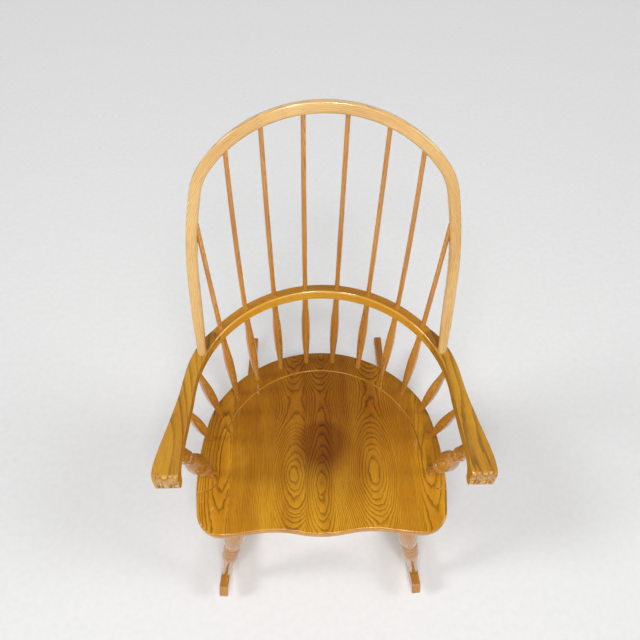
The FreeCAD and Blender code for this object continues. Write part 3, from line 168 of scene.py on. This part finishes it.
# oak: growth rings cut by the surface, pores and slow changes of tone
def growth_rings():
    """Rings round a pith that runs along Y, below the surface at a depth that swells and sinks."""
    group, given, out = new_group(
        "growth_rings",
        [
            ("Place", "Vector", None),
            ("Pith Aside", "Float", 0.0),
            ("Pith Depth", "Float", 20.0),
            ("Swell", "Float", 6.0),
            ("Swell Length", "Float", 300.0),
            ("Swell Start", "Float", 0.0),
            ("Ring Width", "Float", 3.0),
            ("Flutter", "Float", 1.2),
            ("Seed", "Float", 0.0),
        ],
        [("Rings", "Float"), ("Pores", "Float"), ("Tone", "Float")],
    )
    x, y, z = split(group, given["Place"])
    seed = given["Seed"]
    turn = calc(group, "DIVIDE", calc(group, "SUBTRACT", y, given["Swell Start"]), given["Swell Length"])
    wave = calc(group, "COSINE", calc(group, "MULTIPLY", turn, math.tau))
    slow = noise(group, join(group, calc(group, "MULTIPLY", x, 0.012), calc(group, "MULTIPLY", y, 0.01), seed))
    slow = calc(group, "MULTIPLY_ADD", slow, 1.0, -0.5)
    sink = calc(group, "MULTIPLY", calc(group, "SUBTRACT", slow, wave), given["Swell"])
    quick_place = join(
        group, calc(group, "MULTIPLY", x, 0.16), calc(group, "MULTIPLY", y, 0.07), calc(group, "ADD", seed, 7.3)
    )
    quick = calc(group, "MULTIPLY_ADD", noise(group, quick_place, 4.0), 2.0, -1.0)
    flutter = calc(group, "MULTIPLY", quick, given["Flutter"])
    wander_place = join(group, seed, calc(group, "MULTIPLY", y, 0.006), 2.1)
    wander = calc(group, "MULTIPLY_ADD", noise(group, wander_place, 1.0), 16.0, -8.0)
    across = calc(group, "ADD", calc(group, "ADD", x, given["Pith Aside"]), wander)
    depth = calc(group, "ADD", calc(group, "ADD", given["Pith Depth"], sink), calc(group, "ADD", flutter, z))
    radius = calc(group, "SQRT", calc(group, "ADD", calc(group, "POWER", calc(group, "ABSOLUTE", across), 2.0),
                                      calc(group, "POWER", calc(group, "ABSOLUTE", depth), 2.0)))
    count = calc(group, "DIVIDE", radius, given["Ring Width"])
    uneven = noise(group, join(group, calc(group, "MULTIPLY", count, 0.45), seed, 0.0), 1.0)
    count = calc(group, "ADD", count, calc(group, "MULTIPLY", uneven, 1.2))
    share = calc(group, "FRACT", count)
    rings = ramp(group, share, [(0.0, grey(0.2)), (0.06, grey(1.0)), (0.18, grey(0.8)), (0.4, grey(0.18)),
                                (0.75, grey(0.0)), (1.0, grey(0.02))])
    fade = noise(group, join(group, calc(group, "MULTIPLY", x, 0.03), calc(group, "MULTIPLY", y, 0.006), seed))
    rings = calc(group, "MULTIPLY", rings, rise(group, fade, 0.3, 0.6, 0.6, 1.0))
    pore_place = join(
        group, calc(group, "MULTIPLY", x, 1.0), calc(group, "MULTIPLY", y, 0.05), calc(group, "MULTIPLY", z, 1.0)
    )
    pores = rise(group, noise(group, pore_place, 2.0, 0.6), 0.52, 0.66)
    pores = calc(group, "MULTIPLY", pores, calc(group, "MULTIPLY_ADD", rings, 0.5, 0.5))
    tone_place = join(
        group, calc(group, "MULTIPLY", x, 0.028), calc(group, "MULTIPLY", y, 0.0045), calc(group, "ADD", seed, 4.0)
    )
    feed(group, out["Rings"], rings)
    feed(group, out["Pores"], pores)
    feed(group, out["Tone"], noise(group, tone_place, 3.0))
    return group


# what is left of red, green and blue where the painted shade is deepest
PAINTED_SHADE_TINT = (0.4, 0.27, 0.2)


def stain_and_painted_light():
    """The stain's colours over the figure, with the varnish's small unevenness; Shade darkens them as painted shade,
    Edge pales them with real wear and a painted highlight.
    """
    group, given, out = new_group(
        "stain_and_painted_light",
        [
            ("Rings", "Float", 0.0),
            ("Pores", "Float", 0.0),
            ("Tone", "Float", 0.5),
            ("Edge", "Float", 0.0),
            ("Shade", "Float", 0.0),
            ("Pale", "Color", None),
            ("Stain", "Color", None),
            ("Grain", "Color", None),
            ("Figure", "Float", 0.7),
        ],
        [("Color", "Color"), ("Roughness", "Float"), ("Height", "Float")],
    )
    ground = blend(group, rise(group, given["Tone"], 0.22, 0.78), given["Stain"], given["Pale"])
    lines = calc(group, "MULTIPLY", given["Rings"], given["Figure"])
    figured = blend(group, lines, ground, given["Grain"])
    pored = blend(group, calc(group, "MULTIPLY", given["Pores"], 0.5), figured, given["Grain"])
    # painted shade: the colour is darkened towards this tint where the Shade mask is high
    painted_shade_colour = vector_calc(group, "MULTIPLY", pored, PAINTED_SHADE_TINT)
    shaded = blend(group, calc(group, "MINIMUM", given["Shade"], 1.0), pored, painted_shade_colour)
    # edges paled: real wear, and a painted highlight along the rounded edges
    worn_and_highlit = blend(group, calc(group, "MULTIPLY", given["Edge"], 0.4), shaded, given["Pale"])
    feed(group, out["Color"], worn_and_highlit)
    rough = calc(group, "MULTIPLY_ADD", given["Pores"], 0.16, 0.3)
    feed(group, out["Roughness"], calc(group, "MULTIPLY_ADD", given["Tone"], 0.08, rough))
    hollow = calc(group, "MULTIPLY_ADD", given["Rings"], -0.3, calc(group, "MULTIPLY", given["Pores"], -0.7))
    feed(group, out["Height"], hollow)
    return group


def edge_wear_and_highlight():
    """1 on sharp edges, where handling has thinned the stain and a highlight is painted along the rounded edges."""
    group, given, out = new_group("edge_wear_and_highlight", [("Reach", "Float", 0.002)], [("Edge", "Float")])
    soft = add(group, "Bevel", samples=4)
    feed(group, soft.inputs["Radius"], given["Reach"])
    sharp = add(group, "NewGeometry")
    same = vector_calc(group, "DOT_PRODUCT", soft.outputs[0], sharp.outputs["Normal"])
    feed(group, out["Edge"], rise(group, same, 0.995, 0.88))
    return group


def bent_plank():
    """Turns places on a bend into places on the straight strip that it was bent from."""
    group, given, out = new_group(
        "bent_plank",
        [("Place", "Vector", None), ("Radius", "Float", 262.0), ("Straight Below", "Float", -1000.0)],
        [("Place", "Vector")],
    )
    x, y, z = split(group, given["Place"])
    above = calc(group, "MAXIMUM", y, given["Straight Below"])
    below = calc(group, "SUBTRACT", above, y)
    radius = calc(group, "SQRT", calc(group, "ADD", calc(group, "POWER", calc(group, "ABSOLUTE", x), 2.0),
                                      calc(group, "POWER", calc(group, "ABSOLUTE", above), 2.0)))
    turn = calc(group, "ARCTAN2", calc(group, "ABSOLUTE", x), above)
    run = calc(group, "ADD", calc(group, "MULTIPLY", turn, given["Radius"]), below)
    along = calc(group, "MULTIPLY", run, calc(group, "SIGN", x))
    feed(group, out["Place"], join(group, calc(group, "SUBTRACT", radius, given["Radius"]), along, z))
    return group


GROWTH_RINGS = growth_rings()
STAIN_AND_PAINTED_LIGHT = stain_and_painted_light()
EDGE_WEAR_AND_HIGHLIGHT = edge_wear_and_highlight()
BENT_PLANK = bent_plank()


# planks: each piece's own frame, with Y along the grain
def plank(centre, across, along):
    """The matrix from chair to plank, in millimetres."""
    along = along.normalized()
    across = (across - along * across.dot(along)).normalized()
    deep = across.cross(along)
    turn = Matrix((across, along, deep))
    return turn, -(turn @ centre) * MM


def own_axis(piece):
    """The middle of a piece and the direction of its length, from its own points."""
    count = len(piece.data.vertices)
    spots = np.empty(count * 3)
    piece.data.vertices.foreach_get("co", spots)
    spots = spots.reshape(count, 3)
    low, high = spots.min(axis=0), spots.max(axis=0)
    lengths, directions = np.linalg.eigh(np.cov(spots.T))
    return Vector((low + high) / 2), Vector(directions[:, int(np.argmax(lengths))])


def plank_place(tree, turn, shift):
    """Places in the plank's frame, in millimetres, from the chair's."""
    spot = add(tree, "TexCoord").outputs["Object"]
    mapping = add(tree, "Mapping", vector_type="POINT")
    feed(tree, mapping.inputs["Vector"], spot)
    mapping.inputs["Location"].default_value = shift
    mapping.inputs["Rotation"].default_value = turn.to_euler()
    mapping.inputs["Scale"].default_value = (MM, MM, MM)
    return mapping.outputs[0]


def oak_material(name, place_maker, figure, colours, painted_shade_maker=None, edge_reach=0.0015, gloss=1.0):
    """Varnished oak: the figure's values go to the growth rings, the colours to the stain."""
    material = bpy.data.materials.new(name)
    material.use_nodes = True
    tree = material.node_tree
    surface = tree.nodes["Principled BSDF"]
    place, more = place_maker(tree)
    grown = place_group(tree, GROWTH_RINGS, place=place, **{**figure, **more})
    edge = place_group(tree, EDGE_WEAR_AND_HIGHLIGHT, reach=edge_reach)["Edge"]
    # painted shade, from the piece's own mask where it has one
    shade = painted_shade_maker(tree) if painted_shade_maker else 0.0
    finish = place_group(
        tree, STAIN_AND_PAINTED_LIGHT, rings=grown["Rings"], pores=grown["Pores"], tone=grown["Tone"], edge=edge, shade=shade,
        **colours,
    )
    feed(tree, surface.inputs["Base Color"], finish["Color"])
    feed(tree, surface.inputs["Roughness"], finish["Roughness"])
    surface.inputs["Coat Weight"].default_value = gloss
    surface.inputs["Coat Roughness"].default_value = 0.08
    surface.inputs["Coat IOR"].default_value = 1.6
    surface.inputs["Specular IOR Level"].default_value = 0.2
    relief = add(tree, "Bump")
    relief.inputs["Strength"].default_value = 0.25
    relief.inputs["Distance"].default_value = 0.0004
    feed(tree, relief.inputs["Height"], finish["Height"])
    feed(tree, surface.inputs["Normal"], relief.outputs[0])
    return material


def dress(node, material):
    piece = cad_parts[node]
    piece.data.materials.clear()
    piece.data.materials.append(material)


GOLDEN = {"pale": srgb(216, 156, 34), "stain": srgb(184, 120, 16), "grain": srgb(84, 42, 4), "figure": 0.68}
OLIVE = {"pale": srgb(202, 150, 42), "stain": srgb(182, 124, 28), "grain": srgb(92, 54, 10), "figure": 0.6}
# the hoop's oak colour made paler than the rest, a painted sheen over its own colour
HONEY_AND_SHEEN = {"pale": srgb(226, 188, 122), "stain": srgb(206, 160, 92), "grain": srgb(144, 92, 36), "figure": 0.55}
ORANGE = {"pale": srgb(212, 150, 58), "stain": srgb(184, 116, 34), "grain": srgb(116, 64, 16), "figure": 0.5}
TURNED = {"pale": srgb(198, 138, 52), "stain": srgb(162, 102, 30), "grain": srgb(92, 50, 12), "figure": 0.5}
RAIL = {"pale": srgb(246, 186, 58), "stain": srgb(220, 156, 42), "grain": srgb(92, 52, 10), "figure": 0.6}


# the seat: seven boards, glued side by side, each with its own figure
SEAT_WIDTH = 550.0
SEAT_BOARDS = (
    # left edge, middle of the figure, pith's depth, setback of the figure's oval
    (-275, -220, 60, 170),
    (-203, -330, 30, 100),
    (-104, -59, 62, 112),
    (-37, 3, 44, 86),
    (27, 119, 58, 138),
    (165, 60, 30, 40),
    (215, 243, 60, 170),
)
EDGE_BOARDS_FROM = 203.0
DEEPEST_PITH = 80.0
LONGEST_SETBACK = 400.0
SEAT_FIGURE = {"swell_length": 385.0, "ring_width": 3.0, "flutter": 0.9}

# the seat's painted shade and the place of its painted dark reflection, and the groove that parts the saddle from the
# spindles' deck
PAINTED_REFLECTION_SPOT = (2.0, 215.0, 0.0)
SPOT_CORE = 15.0
SPOT_REACH = 125.0
SPOT_SHADE = 1.2
DARK_FROM = 40.0
DARKEST_FROM = 320.0
BACK_SHADE = 0.85
SIDE_SHARE = 0.5
SEAT_ARC_CENTRE = 173.5
SEAT_RIM_REACH = 268.0
GROOVE_FRONT = 85.0


def seat_place(tree):
    turn, shift = plank(SEAT_FRONT, Vector((1, 0, 0)), Vector((0, math.cos(SEAT_TILT), -math.sin(SEAT_TILT))))
    place = plank_place(tree, turn, shift)
    x, y, z = split(tree, place)
    share = calc(tree, "MULTIPLY_ADD", x, 1 / SEAT_WIDTH, 0.5)
    stops = []
    for left, middle, depth, setback in SEAT_BOARDS:
        colour = ((middle + SEAT_WIDTH) / (2 * SEAT_WIDTH), depth / DEEPEST_PITH, setback / LONGEST_SETBACK, 1.0)
        stops.append((left / SEAT_WIDTH + 0.5, colour))
    boards = add(tree, "SeparateColor")
    feed(tree, boards.inputs[0], ramp(tree, share, stops, "CONSTANT"))
    middle = calc(tree, "MULTIPLY_ADD", boards.outputs[0], 2 * SEAT_WIDTH, -SEAT_WIDTH)
    more = {
        "pith_depth": calc(tree, "MULTIPLY", boards.outputs[1], DEEPEST_PITH),
        "swell_start": calc(tree, "MULTIPLY", boards.outputs[2], LONGEST_SETBACK),
        "swell": rise(tree, calc(tree, "ABSOLUTE", x), EDGE_BOARDS_FROM, EDGE_BOARDS_FROM + 1, 12.0, 3.5),
        "seed": calc(tree, "MULTIPLY", boards.outputs[0], 37.0),
    }
    return join(tree, calc(tree, "SUBTRACT", x, middle), y, z), more


def seat_painted_shade(tree):
    """Painted shade darker towards the back and the middle, a painted dark reflection in the saddle, and the groove
    with painted shade at its sides and a painted highlight at the back.
    """
    turn, shift = plank(SEAT_FRONT, Vector((1, 0, 0)), Vector((0, math.cos(SEAT_TILT), -math.sin(SEAT_TILT))))
    x, setback, z = split(tree, plank_place(tree, turn, shift))
    aside = calc(tree, "ABSOLUTE", x)
    sides = rise(tree, aside, 0.0, 250.0, 1.0, SIDE_SHARE)
    # painted shade, deepening towards the back and weaker towards the sides
    back = calc(tree, "MULTIPLY", rise(tree, setback, DARK_FROM, DARKEST_FROM, 0.0, BACK_SHADE), sides)
    # a painted dark reflection round this spot in the saddle
    spot = vector_calc(tree, "DISTANCE", join(tree, x, setback, 0.0), PAINTED_REFLECTION_SPOT)
    shade = calc(tree, "MAXIMUM", back, rise(tree, spot, SPOT_CORE, SPOT_REACH, SPOT_SHADE, 0.0))
    reach = vector_calc(tree, "DISTANCE", join(tree, x, setback, 0.0), (0.0, SEAT_ARC_CENTRE, 0.0))
    up = Vector((0, math.sin(SEAT_TILT), math.cos(SEAT_TILT)))
    level = vector_calc(tree, "DOT_PRODUCT", add(tree, "NewGeometry").outputs["Normal"], up)
    # painted shade in the groove at its sides, a painted highlight in it at the back
    groove = calc(tree, "MULTIPLY", rise(tree, level, 0.99, 0.95), rise(tree, setback, 200.0, 330.0, 1.5, -1.2))
    for inside in (
        calc(tree, "LESS_THAN", reach, SEAT_RIM_REACH),
        calc(tree, "LESS_THAN", aside, SEAT_RIM_REACH),
        calc(tree, "GREATER_THAN", setback, GROOVE_FRONT),
    ):
        groove = calc(tree, "MULTIPLY", groove, inside)
    return calc(tree, "ADD", shade, groove)


dress("seat", oak_material("seat_oak", seat_place, SEAT_FIGURE, GOLDEN, seat_painted_shade, edge_reach=0.003, gloss=0.45))


# the bow and the hoop, bent from straight strips
def rail_place(tree):
    centre = BOW_BACK - Vector((0, math.cos(BOW_TILT), -math.sin(BOW_TILT))) * BOW_RADIUS
    turn, shift = plank(centre, Vector((1, 0, 0)), Vector((0, math.cos(BOW_TILT), -math.sin(BOW_TILT))))
    straight = place_group(tree, BENT_PLANK, place=plank_place(tree, turn, shift), radius=BOW_RADIUS * MM)
    return straight["Place"], {}


def hoop_place(tree):
    up = Vector((0, math.sin(HOOP_LEAN), math.cos(HOOP_LEAN)))
    foot = Vector((0, 0, 0.678))
    foot.y = BOW_BACK.y - BOW_RADIUS + math.sqrt(BOW_RADIUS**2 - HOOP_FOOT_SPREAD**2)
    turn, shift = plank(foot + up * HOOP_BEND_HEIGHT, Vector((1, 0, 0)), up)
    straight = place_group(
        tree, BENT_PLANK, place=plank_place(tree, turn, shift), radius=HOOP_BEND_RADIUS * MM, straight_below=0.0
    )
    return straight["Place"], {}


def rail_top_painted_shade(tree):
    """Painted shade that makes the rail's level top darker than its faces."""
    level = split(tree, add(tree, "NewGeometry").outputs["Normal"])[2]
    return rise(tree, level, 0.8, 0.98, 0.0, 0.65)


def arm_top_painted_shade(tree):
    """Painted shade: behind the hoop's foot an arm's top is as dark as the rail's."""
    setback = split(tree, add(tree, "TexCoord").outputs["Object"])[1]
    return calc(tree, "MULTIPLY", rail_top_painted_shade(tree), rise(tree, setback, HOOP_FOOT_BACK - 0.004, HOOP_FOOT_BACK + 0.004))


RAIL_FIGURE = {
    "pith_aside": 40.0, "pith_depth": 45.0, "swell": 3.0, "swell_length": 420.0, "ring_width": 2.6, "seed": 11.0
}
dress("back_rail", oak_material("back_rail_oak", rail_place, RAIL_FIGURE, RAIL, rail_top_painted_shade))
HOOP_FIGURE = {
    "pith_aside": 60.0, "pith_depth": 30.0, "swell": 2.5, "swell_length": 520.0, "ring_width": 2.0, "seed": 23.0,
    "flutter": 0.5,
}
dress("hoop", oak_material("hoop_oak", hoop_place, HOOP_FIGURE, HONEY_AND_SHEEN))


# straight pieces: the grain runs along each piece's own length
def straight_place(node):
    """The place in a piece's own plank; the left arm was sawn at a slant to the grain."""
    centre, along = own_axis(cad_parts[node])
    if node == "left_arm":
        along.rotate(Matrix.Rotation(LEFT_ARM_SLOPE * math.copysign(1, along.y), 3, "Z"))
    turn, shift = plank(centre, Vector((1, 0, 0)), along)
    return lambda tree: (plank_place(tree, turn, shift), {})


def seed_of(node):
    """A number that differs from piece to piece and stays the same from run to run."""
    return sum(ord(letter) * place for place, letter in enumerate(node, start=1)) % 97 / 3.0


STRAIGHT_PIECES = (
    # how the names end, colours, pith aside, pith depth, swell, swell length, ring width
    (("_arm",), OLIVE, 44, 48, 6, 300, 11.0),
    (("_rocker",), TURNED, 20, 30, 8, 420, 3.4),
    (("_post", "_leg"), TURNED, 46, 24, 2, 260, 2.4),
    (("_stretcher",), ORANGE, 16, 34, 4, 260, 2.4),
    (("",), ORANGE, 26, 30, 2, 260, 1.8),
)


def straight_pieces():
    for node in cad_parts:
        if node in ("seat", "back_rail", "hoop"):
            continue
        for endings, colours, aside, depth, swell, length, width in STRAIGHT_PIECES:
            if node.endswith(endings):
                figure = {
                    "pith_aside": aside, "pith_depth": depth, "swell": swell, "swell_length": length,
                    "swell_start": seed_of(node) * 10, "ring_width": width, "flutter": width / 7, "seed": seed_of(node),
                }
                painted_shade_maker = arm_top_painted_shade if node.endswith("_arm") else None
                dress(node, oak_material(node + "_oak", straight_place(node), figure, colours, painted_shade_maker))
                break


straight_pieces()


# floor, light and camera
def pale_floor():
    half = 9.0
    mesh = bpy.data.meshes.new("floor")
    mesh.from_pydata([(-half, -half, 0), (half, -half, 0), (half, half, 0), (-half, half, 0)], [], [(0, 1, 2, 3)])
    floor = bpy.data.objects.new("floor", mesh)
    bpy.context.collection.objects.link(floor)
    material = bpy.data.materials.new("pale_floor")
    material.use_nodes = True
    tree = material.node_tree
    surface = tree.nodes["Principled BSDF"]
    speck = noise(tree, vector_calc(tree, "MULTIPLY", add(tree, "TexCoord").outputs["Object"], (60, 60, 60)), 4.0)
    feed(tree, surface.inputs["Base Color"], blend(tree, speck, grey(0.78), grey(0.86)))
    surface.inputs["Roughness"].default_value = 0.8
    mesh.materials.append(material)


def studio_world():
    """Pale at the horizon and dimmer overhead, as in a room that is open towards the front."""
    world = bpy.data.worlds.new("studio")
    bpy.context.scene.world = world
    world.use_nodes = True
    tree = world.node_tree
    x, y, z = split(tree, add(tree, "TexCoord").outputs["Generated"])
    level = ramp(tree, z, [(0.0, grey(0.72)), (0.2, grey(0.6)), (0.5, grey(0.27)), (1.0, grey(0.14))])
    feed(tree, tree.nodes["Background"].inputs["Color"], level)
    tree.nodes["Background"].inputs["Strength"].default_value = 1.0


def softbox(name, place, target, width, height, power):
    lamp = bpy.data.lights.new(name, "AREA")
    lamp.shape = "RECTANGLE"
    lamp.size = width
    lamp.size_y = height
    lamp.energy = power
    body = bpy.data.objects.new(name, lamp)
    body.location = place
    body.rotation_euler = (Vector(target) - Vector(place)).to_track_quat("-Z", "Y").to_euler()
    bpy.context.collection.objects.link(body)


def wide_light(name, place, strength, spread):
    """Soft light from far off, as even at the floor's edge as at the chair."""
    lamp = bpy.data.lights.new(name, "SUN")
    lamp.energy = strength
    lamp.angle = math.radians(spread)
    body = bpy.data.objects.new(name, lamp)
    body.location = place
    body.rotation_euler = (-Vector(place)).to_track_quat("-Z", "Y").to_euler()
    bpy.context.collection.objects.link(body)


def camera():
    aim = Vector((
        math.sin(CAMERA_YAW) * math.cos(CAMERA_PITCH),
        math.cos(CAMERA_YAW) * math.cos(CAMERA_PITCH),
        -math.sin(CAMERA_PITCH),
    ))
    level = aim.cross(Vector((0, 0, 1))).normalized()
    upright = level.cross(aim)
    right = math.cos(CAMERA_ROLL) * level + math.sin(CAMERA_ROLL) * upright
    up = -math.sin(CAMERA_ROLL) * level + math.cos(CAMERA_ROLL) * upright
    eye = bpy.data.cameras.new("camera")
    eye.sensor_width = FILM_WIDTH
    eye.lens = FOCAL_LENGTH
    body = bpy.data.objects.new("camera", eye)
    turn = Matrix((right, up, -aim)).transposed().to_4x4()
    body.matrix_world = Matrix.Translation(CAMERA_PLACE) @ turn
    bpy.context.collection.objects.link(body)
    bpy.context.scene.camera = body


pale_floor()
studio_world()
wide_light("front_light", (0.2, -2.6, 2.4), 0.8, 40)
wide_light("left_light", (-2.4, -0.3, 1.9), 0.95, 14)
wide_light("right_light", (2.4, -0.3, 1.7), 0.8, 20)
softbox("left_window", (-0.55, -1.5, 3.3), (0, -0.1, 0.5), 0.36, 0.36, 21)
softbox("right_window", (0.35, -1.5, 3.3), (0, -0.1, 0.5), 0.36, 0.36, 21)
camera()
bpy.context.scene.view_settings.view_transform = "Standard"
